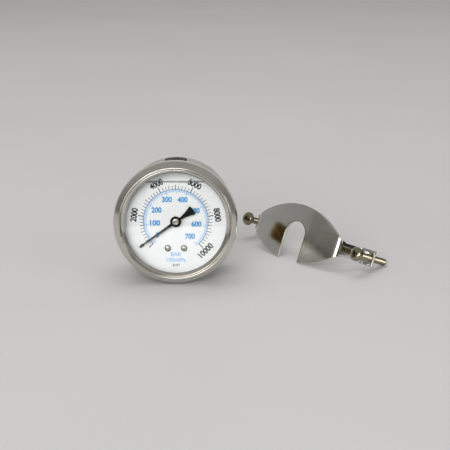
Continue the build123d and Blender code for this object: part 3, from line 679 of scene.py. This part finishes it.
def threaded_end(bm):
    """Quarter inch pipe thread, with a countersunk mouth that narrows to the restrictor's hole."""
    root, crest, pitch = 6.0, 6.82, 1.411
    previous, high = thread(bm, root, crest, pitch, STEM_END_Z + 0.9, SQUARE_BACK_Z + 0.2, taper=0.35,
                            run_out=1.6, segments=96, steps=16)
    mouth = [(5.1, 0), (2.9, 0), (2.1, 0.9), (2.0, 3.0), (0.35, 3.05), (0.35, 6.0)]
    for r, z in lifted(mouth, STEM_END_Z):
        ring = ring_at(bm, r, z, len(previous))
        skin(bm, previous, ring)
        previous = ring
    bm.faces.new(previous)
    bm.faces.new(high)


LEVEL_Y = 22.6
LIQUID_R = 29.6
RIM_CURL = 0.12
CURL_DEPTH = 1.3


def liquid():
    """Glycerine between dial and window, level in the world and short of full, with a curled-up rim."""
    back = DIAL_Z + 0.04
    gap = WINDOW_BACK_Z - 0.02 - back
    slope = tan(asin(GAUGE.col[2].z))

    def surface_y(depth):
        """Height of the liquid's top at a depth from the dial, curled up where it meets dial and window."""
        curl = RIM_CURL * (cos(2 * pi * depth / gap) + 1) / 2
        edge = min(depth, gap - depth)
        return LEVEL_Y - slope * depth + curl * max(0.0, 1 - edge / CURL_DEPTH)

    def section(top):
        """The round rim below the level, then the level itself from right to left."""
        half_angle = asin(top / LIQUID_R)
        half_x = LIQUID_R * cos(half_angle)
        rim = arc((0, 0), LIQUID_R, 180 - degrees(half_angle), 360 + degrees(half_angle), 160)
        return rim + [(half_x * (1 - k / 12), top) for k in range(1, 24)]

    def build(bm):
        rings = []
        for i in range(15):
            depth = gap * i / 14
            rings.append([bm.verts.new((x, y, back + depth)) for x, y in section(surface_y(depth))])
        for low, high in zip(rings, rings[1:]):
            skin(bm, low, high)
        bm.faces.new(rings[0])
        bm.faces.new(rings[-1])

    return mesh_from("liquid", build)


# ---------------------------------------------------------------- dial printing
SWEEP_START = 225.0
PSI_DEGREES = 0.027
PSI_FULL = 10000
PSI_PER_BAR = 14.5038
BAR_FULL = 700
PSI_SCALE_R = 18.0
BAR_SCALE_R = 17.8
PSI_DIGIT = (1.93, 3.6)
ZERO_DIGIT = (1.7, 3.3)
BAR_DIGIT = (1.87, 3.2)
PSI_DIGITS_R = 23.3
ZERO_PLACE = (23.4, 216.3)
PSI_BOLD = 0.036
BAR_BOLD = 0.038
UNIT_BOLD = 0.01
PRINT_LIFT = 0.012
PRINT_THICK = 0.02


def scale_angle(psi):
    return SWEEP_START - psi * PSI_DEGREES


def flat_bar(bm, angle, r_low, r_high, width):
    """One printed tick along a radius."""
    a = radians(angle)
    along, across = Vector((cos(a), sin(a))), Vector((-sin(a), cos(a)))
    corners = [along * r + across * w for r, w in
               ((r_low, -width / 2), (r_high, -width / 2), (r_high, width / 2), (r_low, width / 2))]
    printed(bm, [(p.x, p.y) for p in corners])


def printed(bm, corners):
    """A thin solid of ink with that outline."""
    low = [bm.verts.new((x, y, DIAL_Z + PRINT_LIFT)) for x, y in corners]
    high = [bm.verts.new((x, y, DIAL_Z + PRINT_LIFT + PRINT_THICK)) for x, y in corners]
    bm.faces.new(low[::-1])
    bm.faces.new(high)
    skin(bm, low, high)


def flat_arc(bm, r, width, start, end, steps):
    """A printed line along an arc, angles in degrees."""
    inner = arc((0, 0), r - width / 2, start, end, steps)
    outer = arc((0, 0), r + width / 2, start, end, steps)
    for k in range(steps):
        printed(bm, [inner[k], outer[k], outer[k + 1], inner[k + 1]])


def psi_ticks(bm):
    for psi in range(0, PSI_FULL + 1, 200):
        reach, width = 2.1, 0.3
        if psi % 2000 == 0:
            reach, width = 3.1, 0.5
        elif psi % 1000 == 0:
            reach, width = 2.6, 0.36
        flat_bar(bm, scale_angle(psi), PSI_SCALE_R, PSI_SCALE_R + reach, width)
    flat_arc(bm, PSI_SCALE_R + 0.02, 0.12, scale_angle(0), scale_angle(PSI_FULL), 180)


def bar_ticks(bm):
    for bar in range(0, BAR_FULL + 1, 5):
        reach, width = 1.3, 0.22
        if bar % 100 == 0:
            reach, width = 2.4, 0.36
        elif bar % 50 == 0:
            reach, width = 1.9, 0.26
        elif bar % 10 == 0:
            reach, width = 1.6, 0.22
        flat_bar(bm, scale_angle(bar * PSI_PER_BAR), BAR_SCALE_R - reach, BAR_SCALE_R, width)
    flat_arc(bm, BAR_SCALE_R + 0.05, 0.26, scale_angle(0), scale_angle(BAR_FULL * PSI_PER_BAR), 180)


def lettering(text, height, width, place, turn, bold):
    """Numerals or unit letters as a flat printed mesh, centred on place and turned in degrees."""
    curve = bpy.data.curves.new("lettering", "FONT")
    curve.body = text
    curve.align_x = "CENTER"
    curve.align_y = "CENTER"
    curve.offset = bold
    curve.extrude = PRINT_THICK / 2
    curve.resolution_u = 6
    obj = bpy.data.objects.new("lettering", curve)
    bpy.context.scene.collection.objects.link(obj)
    bpy.context.view_layer.update()
    mesh = bpy.data.meshes.new_from_object(obj.evaluated_get(bpy.context.evaluated_depsgraph_get()))
    bpy.data.objects.remove(obj)
    xs, ys = [v.co.x for v in mesh.vertices], [v.co.y for v in mesh.vertices]
    middle = Vector(((min(xs) + max(xs)) / 2, (min(ys) + max(ys)) / 2, 0))
    mesh.transform(Matrix.Translation(-middle))
    grow = Matrix.Diagonal((width / (max(xs) - min(xs)), height / (max(ys) - min(ys)), 1, 1))
    lift = Matrix.Translation((place[0], place[1], DIAL_Z + PRINT_LIFT + PRINT_THICK / 2))
    mesh.transform(lift @ Matrix.Rotation(radians(turn), 4, "Z") @ grow)
    mesh.transform(Matrix.Scale(MM, 4))
    return mesh


def on_circle(r, angle):
    return (r * cos(radians(angle)), r * sin(radians(angle)))


def psi_numerals():
    """Black numerals, each turned to face the scale's middle."""
    meshes = []
    width, height = PSI_DIGIT
    for psi in range(2000, PSI_FULL + 1, 2000):
        angle = scale_angle(psi)
        text = str(psi)
        turn = angle + 90 if angle < -20 else angle - 90
        place = on_circle(PSI_DIGITS_R, angle)
        meshes.append(lettering(text, height, width * len(text), place, turn, PSI_BOLD))
    width, height = ZERO_DIGIT
    meshes.append(lettering("0", height, width, on_circle(*ZERO_PLACE), ZERO_PLACE[1] - 90, PSI_BOLD))
    return meshes


BAR_PLACES = {0: (-10.3, -7.7), 100: (-11.5, -0.9), 200: (-10.6, 6.4), 300: (-4.8, 12.3), 400: (3.8, 12.2),
              500: (10.4, 6.0), 600: (11.4, -1.5), 700: (7.8, -8.5)}


def bar_numerals():
    width, height = BAR_DIGIT
    return [lettering(str(bar), height, width * len(str(bar)), place, 0, BAR_BOLD)
            for bar, place in BAR_PLACES.items()]


def dial_printing():
    black = [mesh_from("psi_ticks", psi_ticks)] + psi_numerals()
    blue = bar_numerals()
    pale = [
        mesh_from("bar_ticks", bar_ticks),
        lettering("BAR", 2.3, 5.8, (0, -18.7), 0, UNIT_BOLD),
        lettering("100xkPa", 2.2, 10.6, (0, -21.9), 0, UNIT_BOLD),
    ]
    grey = [lettering("psi", 2.3, 3.7, (0, -25.0), 0, UNIT_BOLD)]
    prints = (("black", black, INK_BLACK), ("blue", blue, INK_BLUE), ("pale", pale, INK_PALE_BLUE),
              ("grey", grey, INK_GREY))
    for color, meshes, material in prints:
        name = "dial_print_" + color
        add_piece(name, joined(name, meshes), GAUGE, "gauge", material)


def dial_screws():
    """Two domed screws with a small cross in each."""
    rim = [(0, 0), (1.8, 0), (1.85, 0.15)]
    crown = smooth_run([(1.85, 0.15), (1.7, 0.62), (1.25, 0.95), (0.6, 1.08), (0, 1.1)], 5)
    dome = lifted(rim + crown, DIAL_Z)
    pin = [(0, -12.1), (0.8, -12.1), (0.8, DIAL_Z), (0, DIAL_Z)]
    meshes = []
    for side in (-1, 1):
        place = Matrix.Translation((side * DIAL_SCREW_X * MM, DIAL_SCREW_Y * MM, 0))
        head = mesh_from("dome", lambda bm: lathe(bm, dome, 64, closed=False))
        head = cut(head, cross_recess(DIAL_Z + 1.1, 0.75, 0.45))
        head.transform(place @ Matrix.Rotation(radians(20), 4, "Z"))
        shank = mesh_from("shank", lambda bm: lathe(bm, pin, 32, closed=False))
        shank.transform(place)
        meshes += [head, shank]
    return joined("dial_screws", meshes)


def gauge_pieces():
    add_piece("bezel_ring_polished", bezel(), GAUGE, "gauge", POLISHED, ["bezel_ring"], 40)
    add_piece("case_drum", case_drum(), GAUGE, "gauge", DRUM, ["case_shell"])
    add_piece("fill_plug_rubber", fill_plug(), GAUGE, "gauge", RUBBER, ["fill_plug"])
    add_piece("stem_turned", stem(), GAUGE, "gauge", SHADED_STEM_BRASS, ["stem"])
    add_piece("dial_screws_domed", dial_screws(), GAUGE, "gauge", STEEL, ["dial_screws"])
    add_piece("pointer_hub_turned", pointer_hub(), GAUGE, "pointer", STEEL, ["pointer_hub"])
    add_piece("pointer_rivet", pointer_rivet(), GAUGE, "pointer", STEEL)
    fill = add_piece("liquid_fill", liquid(), GAUGE, "gauge", GLYCERINE)
    for clear_piece in (fill, frame["nodes"]["window"]):
        clear_piece.visible_shadow = False
    dial_printing()


# ================================================================ clamp pieces
PLATE_HALF = 33.2
PLATE_END_HALF_W = 4.9
PLATE_TOP_Y = 18.0
PLATE_BOTTOM_Y = -16.1
LEG_HALF_W = 4.0
LEG_SHOULDER_X = 33.8
LEG_NECK_X = 34.3
LEG_FOOT_X = 37.2
TAB_START_X = 38.6
TAB_END_X = 47.7
TAB_HALF_W = 4.6
TAB_CORNER_R = 0.8
TAB_Z = -17.0
ARCH_RISE = 1.6
ARCH_R = 300.0
BEND_R = 2.8
SLOT_HALF_W = 7.6
SCREW_HOLE_R = 2.05
EDGE_ROUND = 0.22


def strip_path():
    """The right half of the bent strip's middle line, from the plate's centre to the tab's end."""
    half = SHEET / 2
    corners = [Vector((PLATE_HALF - half, -half)), Vector((LEG_FOOT_X - half, TAB_Z + half)),
               Vector((TAB_END_X, TAB_Z + half))]
    slope = atan2(ARCH_RISE, PLATE_HALF - half)
    crown = ARCH_RISE - half + ARCH_R * (1 - 1 / cos(slope))
    points = []
    for k in range(13):
        a = slope * k / 12
        points.append(Vector((ARCH_R * sin(a), crown - ARCH_R * (1 - cos(a)))))
    points += bend(points[-1], corners[0], corners[1])
    points += bend(corners[0], corners[1], corners[2])
    points.append(corners[2])
    return points


def bend(before, corner, after, steps=14):
    """Points of the round that joins two straight runs at a corner."""
    into, out = (corner - before).normalized(), (after - corner).normalized()
    turn = into.angle(out)
    side = 1 if into.x * out.y - into.y * out.x > 0 else -1
    start = corner - into * BEND_R * tan(turn / 2)
    centre = start + Vector((-into.y, into.x)) * BEND_R * side
    spins = [Matrix.Rotation(side * turn * k / steps, 2) for k in range(steps + 1)]
    return [centre + spin @ (start - centre) for spin in spins]


def run_lengths(path):
    lengths = [0.0]
    for a, b in zip(path, path[1:]):
        lengths.append(lengths[-1] + (b - a).length)
    return lengths


def normal_at(path, index):
    """The path's outward normal at one of its points, the mean of the two runs that meet there."""
    if index == 0:
        return Vector((0, 1))
    before = (path[index] - path[index - 1]).normalized()
    after = (path[index + 1] - path[index]).normalized() if index + 1 < len(path) else before
    along = (before + after).normalized()
    return Vector((-along.y, along.x))


def along_strip(x, path, lengths):
    """Length along the strip where its outer face stands at x."""
    outer = [point.x + normal_at(path, i).x * SHEET / 2 for i, point in enumerate(path)]
    index = 0
    while index < len(outer) - 2 and outer[index + 1] < x:
        index += 1
    share = (x - outer[index]) / (outer[index + 1] - outer[index])
    return lengths[index] + (lengths[index + 1] - lengths[index]) * share


def edge_arc(reach, from_x):
    """The plate's curved edge, from from_x out to the end of the plate."""
    side = 1 if reach > 0 else -1
    rise = abs(reach) - PLATE_END_HALF_W
    radius = (PLATE_HALF**2 + rise**2) / (2 * rise)
    xs = [from_x + (PLATE_HALF - from_x) * k / 48 for k in range(49)]
    return [(x, side * (abs(reach) - radius + sqrt(radius**2 - x**2))) for x in xs]


def flat_outline(path, lengths):
    """The plate laid flat: two arcs, necks for the legs, squared tabs and the open slot."""
    ear = [(LEG_SHOULDER_X, PLATE_END_HALF_W), (LEG_NECK_X, LEG_HALF_W), (LEG_FOOT_X, LEG_HALF_W),
           (TAB_START_X, TAB_HALF_W)]
    ear += arc((TAB_END_X - TAB_CORNER_R, TAB_HALF_W - TAB_CORNER_R), TAB_CORNER_R, 90, 0, 6)
    upper = edge_arc(PLATE_TOP_Y, 0) + ear
    lower = edge_arc(PLATE_BOTTOM_Y, SLOT_HALF_W) + [(x, -y) for x, y in ear]
    slot = arc((0, 0), SLOT_HALF_W, 0, 90, 24)
    half = [(along_strip(x, path, lengths), y) for x, y in upper + lower[::-1] + slot]
    return half + [(-x, y) for x, y in half[-2:0:-1]]


def clamp_bracket():
    """The plate is cut flat with softened edges and screw holes, then bent along the strip's path."""
    path = strip_path()
    lengths = run_lengths(path)
    curve = bpy.data.curves.new("blank", "CURVE")
    curve.dimensions = "2D"
    curve.fill_mode = "BOTH"
    curve.extrude = SHEET / 2 - EDGE_ROUND
    curve.bevel_depth = EDGE_ROUND
    curve.bevel_resolution = 3
    curve.offset = -EDGE_ROUND
    hole_x = along_strip(SCREW_X, path, lengths)
    hole = arc((hole_x, 0), SCREW_HOLE_R, 0, 351, 39)
    for loop in (flat_outline(path, lengths), hole, [(-x, y) for x, y in hole]):
        spline = curve.splines.new("POLY")
        spline.points.add(len(loop) - 1)
        for point, (x, y) in zip(spline.points, loop):
            point.co = (x, y, 0, 1)
        spline.use_cyclic_u = True
    blank = bpy.data.objects.new("blank", curve)
    bpy.context.scene.collection.objects.link(blank)
    bpy.context.view_layer.update()
    mesh = bpy.data.meshes.new_from_object(blank.evaluated_get(bpy.context.evaluated_depsgraph_get()))
    bpy.data.objects.remove(blank)
    bm = bmesh.new()
    bm.from_mesh(mesh)
    # Marks the edge faces, which later take the brighter edge metal with its painted highlight.
    edge_highlight_faces = bm.faces.layers.int.new("edge_highlight_faces")
    for face in bm.faces:
        face[edge_highlight_faces] = int(abs(face.normal.z) < 0.5)
    for s in sorted({sign * length for length in lengths[:-1] for sign in (-1, 1)}):
        geometry = bm.verts[:] + bm.edges[:] + bm.faces[:]
        bmesh.ops.bisect_plane(bm, geom=geometry, plane_co=(s, 0, 0), plane_no=(1, 0, 0), dist=1e-5)
    for vert in bm.verts:
        vert.co = bent(vert.co, path, lengths)
    bmesh.ops.remove_doubles(bm, verts=bm.verts, dist=0.0005)
    bmesh.ops.scale(bm, vec=(MM, MM, MM), verts=bm.verts)
    bmesh.ops.recalc_face_normals(bm, faces=bm.faces)
    result = bpy.data.meshes.new("clamp_bracket")
    bm.to_mesh(result)
    bm.free()
    return result


def bent(point, path, lengths):
    """Moves a point of the flat plate onto the bent path: x runs along it, z stands off it."""
    run, side = abs(point.x), (1 if point.x >= 0 else -1)
    index = 0
    while index < len(lengths) - 2 and lengths[index + 1] < run:
        index += 1
    share = (run - lengths[index]) / (lengths[index + 1] - lengths[index])
    spot = path[index] + (path[index + 1] - path[index]) * share
    normal = normal_at(path, index).lerp(normal_at(path, index + 1), min(1.0, share)).normalized()
    spot = spot + normal * point.z
    return Vector((side * spot.x, point.y, spot.y))


HEAD_R = 4.1
HEAD_H = 3.1
THREAD_ROOT_R = 1.62
THREAD_PITCH = 0.7
SCREW_TURN = 25.0


def clamp_screw(side):
    """Round-headed machine screw: domed head with a cross recess, threaded shank and chamfered point."""
    base = SCREW_UNDERHEAD_Z
    rim = [(0, 0), (HEAD_R - 0.25, 0), (HEAD_R, 0.25), (HEAD_R, 0.95)]
    crown = smooth_run([(HEAD_R, 0.95), (3.75, 1.9), (2.9, 2.62), (1.5, 3.02), (0, HEAD_H)], 6)
    dome = lifted(rim + crown, base)
    head = mesh_from("head", lambda bm: lathe(bm, dome, 96, closed=False))
    head = cut(head, cross_recess(base + HEAD_H, 2.1, 1.9))

    def shank(bm):
        low, high = thread(bm, THREAD_ROOT_R, SCREW_R, THREAD_PITCH, SCREW_TIP_Z + 0.5, base - 0.6,
                           run_out=THREAD_PITCH, segments=48, steps=12)
        capped(bm, low, SCREW_TIP_Z, 1.25)
        capped(bm, high, base + 0.2, 1.9)

    mesh = joined("screw", [head, mesh_from("shank", shank)])
    place = Matrix.Translation((side * SCREW_X * MM, 0, 0))
    mesh.transform(place @ Matrix.Rotation(radians(side * SCREW_TURN), 4, "Z"))
    return mesh


def clamp_pieces():
    plate = add_piece("clamp_plate_bent", clamp_bracket(), CLAMP, "clamp", PLATED,
                      ["clamp_bracket"], 25)
    plate.data.materials.append(CUT_EDGE_HIGHLIGHT)
    # The edge faces get the brighter metal: the bare cut edge plus a painted highlight.
    for polygon, mark in zip(plate.data.polygons, plate.data.attributes["edge_highlight_faces"].data):
        polygon.material_index = mark.value
    for side, body in ((-1, "left_screw"), (1, "right_screw")):
        name = body.split("_")[0] + "_clamp_screw"
        add_piece(name + "_threaded", clamp_screw(side), CLAMP, body, NICKEL, [name])


# ================================================================ studio
ROOM_FRONT = 0.20
ROOM_BACK = 0.62
ROOM_TOP = 0.38
FLOOR_HALF = 12.0
CAMERA_LIFT = radians(18.1)
CAMERA_DISTANCE = 0.6
CAMERA_LENS = 87.2
AIM_FROM_DIAL = Vector((27.2, 4.15, -1.85)) * MM


def studio_floor():
    mesh = bpy.data.meshes.new("floor")
    corners = [(-FLOOR_HALF, -FLOOR_HALF, 0), (FLOOR_HALF, -FLOOR_HALF, 0), (FLOOR_HALF, FLOOR_HALF, 0),
               (-FLOOR_HALF, FLOOR_HALF, 0)]
    mesh.from_pydata(corners, [], [(0, 1, 2, 3)])
    mesh.materials.append(floor_material())
    floor = bpy.data.objects.new("studio_floor", mesh)
    bpy.context.scene.collection.objects.link(floor)
    floor.location.z = cad_low[2] - 0.0001


def aimed(place, target):
    """A matrix at place whose -Z looks at target."""
    place, target = Vector(place), Vector(target)
    rotation = (target - place).to_track_quat("-Z", "Y").to_matrix().to_4x4()
    return Matrix.Translation(place) @ rotation


def soft_light(name, place, target, size, watts, lights_set=True, mirrored=True):
    """A soft box. It can light the set without showing in the metal, or only show in the metal."""
    data = bpy.data.lights.new(name, "AREA")
    data.shape = "RECTANGLE"
    data.size, data.size_y = size
    data.energy = watts
    data.color = (1.0, 0.99, 0.97)
    light = bpy.data.objects.new(name, data)
    bpy.context.scene.collection.objects.link(light)
    light.matrix_world = aimed(place, target)
    light.visible_diffuse = lights_set
    light.visible_glossy = mirrored


def studio_lights(middle):
    """A key from the front left, a broad top light, a weak fill, and tall strips that edge the metal."""
    soft_light("key", middle + Vector((-0.4, -1.45, 0.65)), middle, (1.0, 0.9), 14)
    soft_light("top", middle + Vector((-0.1, 0.3, 1.5)), middle, (1.5, 1.0), 10, mirrored=False)
    soft_light("fill", middle + Vector((1.3, -0.9, 0.7)), middle, (0.6, 0.8), 2.5, mirrored=False)
    for name, side in (("left strip", -1), ("right strip", 1)):
        place = middle + Vector((side * 0.95, -0.95, 0.2))
        soft_light(name, place, middle, (0.3, 0.5), 1.9, lights_set=False)


def dark_card(name, start, end, tall):
    """A low card standing on the floor from start to end, seen only as a dark reflection."""
    (x0, y0), (x1, y1) = start, end
    mesh = bpy.data.meshes.new(name)
    mesh.from_pydata([(x0, y0, 0), (x1, y1, 0), (x1, y1, tall), (x0, y0, tall)], [], [(0, 1, 2, 3)])
    mesh.materials.append(CARD_CLOTH)
    card = bpy.data.objects.new(name, mesh)
    bpy.context.scene.collection.objects.link(card)
    card.location.z = cad_low[2]
    card.visible_camera = False
    card.visible_diffuse = False
    card.visible_shadow = False


def dark_cards(gauge_origin):
    """One ahead of the dial, for a clear window, and one beside the clamp's right leg."""
    ahead = gauge_origin.y - 0.25
    dark_card("front_card", (gauge_origin.x - 0.34, ahead), (gauge_origin.x + 0.34, ahead), 0.045)
    beside = cad_high[0] + 0.027
    dark_card("side_card", (beside, -0.065), (beside, 0.10), 0.04)


def studio_world():
    """A dim room: darkest behind the camera near the floor, paler behind the set and overhead."""
    world = bpy.data.worlds.new("studio")
    bpy.context.scene.world = world
    world.use_nodes = True
    nodes, links = world.node_tree.nodes, world.node_tree.links
    coordinates = nodes.new("ShaderNodeTexCoord")
    parts = nodes.new("ShaderNodeSeparateXYZ")
    links.new(coordinates.outputs["Generated"], parts.inputs[0])
    back = spread(nodes, links, parts.outputs["Y"], ROOM_FRONT, ROOM_BACK, -0.3, 1.0)
    height = spread(nodes, links, parts.outputs["Z"], 0.0, 1.0, 0.15, 0.7)
    mix = nodes.new("ShaderNodeMix")
    mix.data_type = "FLOAT"
    mix.inputs["B"].default_value = ROOM_TOP
    links.new(height, mix.inputs["Factor"])
    links.new(back, mix.inputs["A"])
    background = nodes["Background"]
    background.inputs["Color"].default_value = (1.0, 0.985, 0.955, 1)
    links.new(mix.outputs["Result"], background.inputs["Strength"])


def studio_camera(gauge_origin):
    """From the front and a little above, aimed between the gauge and the clamp."""
    target = gauge_origin + AIM_FROM_DIAL
    back = Vector((0, -cos(CAMERA_LIFT), sin(CAMERA_LIFT))) * CAMERA_DISTANCE
    data = bpy.data.cameras.new("camera")
    data.lens = CAMERA_LENS
    data.sensor_width = 36.0
    data.clip_start = 0.01
    camera = bpy.data.objects.new("camera", data)
    bpy.context.scene.collection.objects.link(camera)
    camera.matrix_world = aimed(target + back, target)
    bpy.context.scene.camera = camera


dress_cad_nodes()
gauge_pieces()
clamp_pieces()
studio_floor()
studio_lights((Vector(cad_low) + Vector(cad_high)) / 2)
studio_world()
dark_cards(GAUGE.translation)
studio_camera(GAUGE.translation)
bpy.context.scene.view_settings.view_transform = "Standard"
